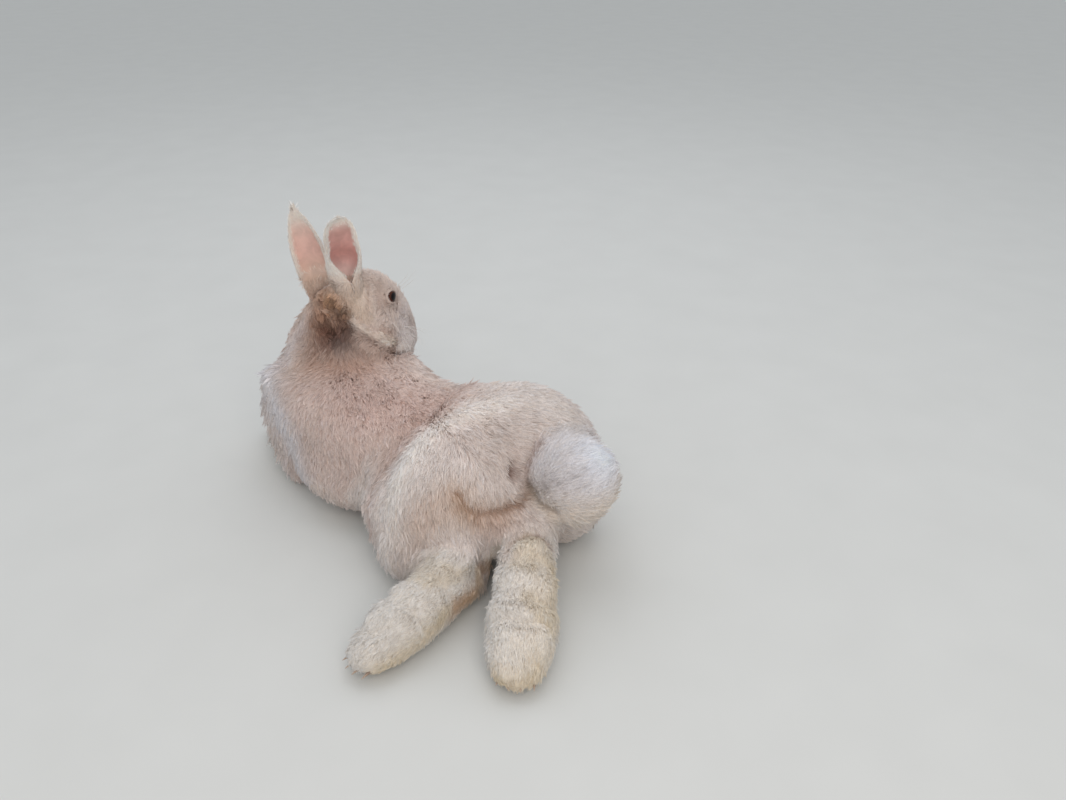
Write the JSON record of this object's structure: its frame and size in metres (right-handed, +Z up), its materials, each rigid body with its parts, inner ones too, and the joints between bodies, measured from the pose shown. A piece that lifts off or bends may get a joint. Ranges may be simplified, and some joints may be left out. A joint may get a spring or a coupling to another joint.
{
  "type": "rabbit",
  "caption": "Life-size still model of a fawn and cream rabbit stretched out on its belly, hind legs thrown to one side, head raised and turned, ears up.",
  "frame": {"origin": "on the floor, under the middle of the model's bounding box", "axes": "+X the way the chest points, along the longest extent; +Y to the rabbit's left; +Z up from the floor"},
  "size_m": [0.3956, 0.2352, 0.2226],
  "materials": {
    "coat_fawn": "matte",
    "coat_cream": "matte",
    "coat_face": "matte",
    "coat_white": "matte",
    "coat_foot": "matte",
    "ear_skin": "satin",
    "eye": "gloss",
    "claw": "satin"
  },
  "bodies": {
    "root": {"trunk": "coat_fawn", "neck": "coat_fawn", "head": "coat_face", "tail": "coat_white", "thigh_left": "coat_cream", "thigh_right": "coat_cream", "hind_foot_left": "coat_foot", "hind_foot_right": "coat_foot", "foreleg_left": "coat_cream", "foreleg_right": "coat_cream", "ear_left": "ear_skin", "ear_right": "ear_skin", "eye_left": "eye", "eye_right": "eye", "hind_claw_left_1": "claw", "hind_claw_left_2": "claw", "hind_claw_left_3": "claw", "hind_claw_left_4": "claw", "hind_claw_right_1": "claw", "hind_claw_right_2": "claw", "hind_claw_right_3": "claw", "hind_claw_right_4": "claw", "fore_claw_left_1": "claw", "fore_claw_left_2": "claw", "fore_claw_left_3": "claw", "fore_claw_left_4": "claw", "fore_claw_right_1": "claw", "fore_claw_right_2": "claw", "fore_claw_right_3": "claw", "fore_claw_right_4": "claw"}
  },
  "joints": []
}
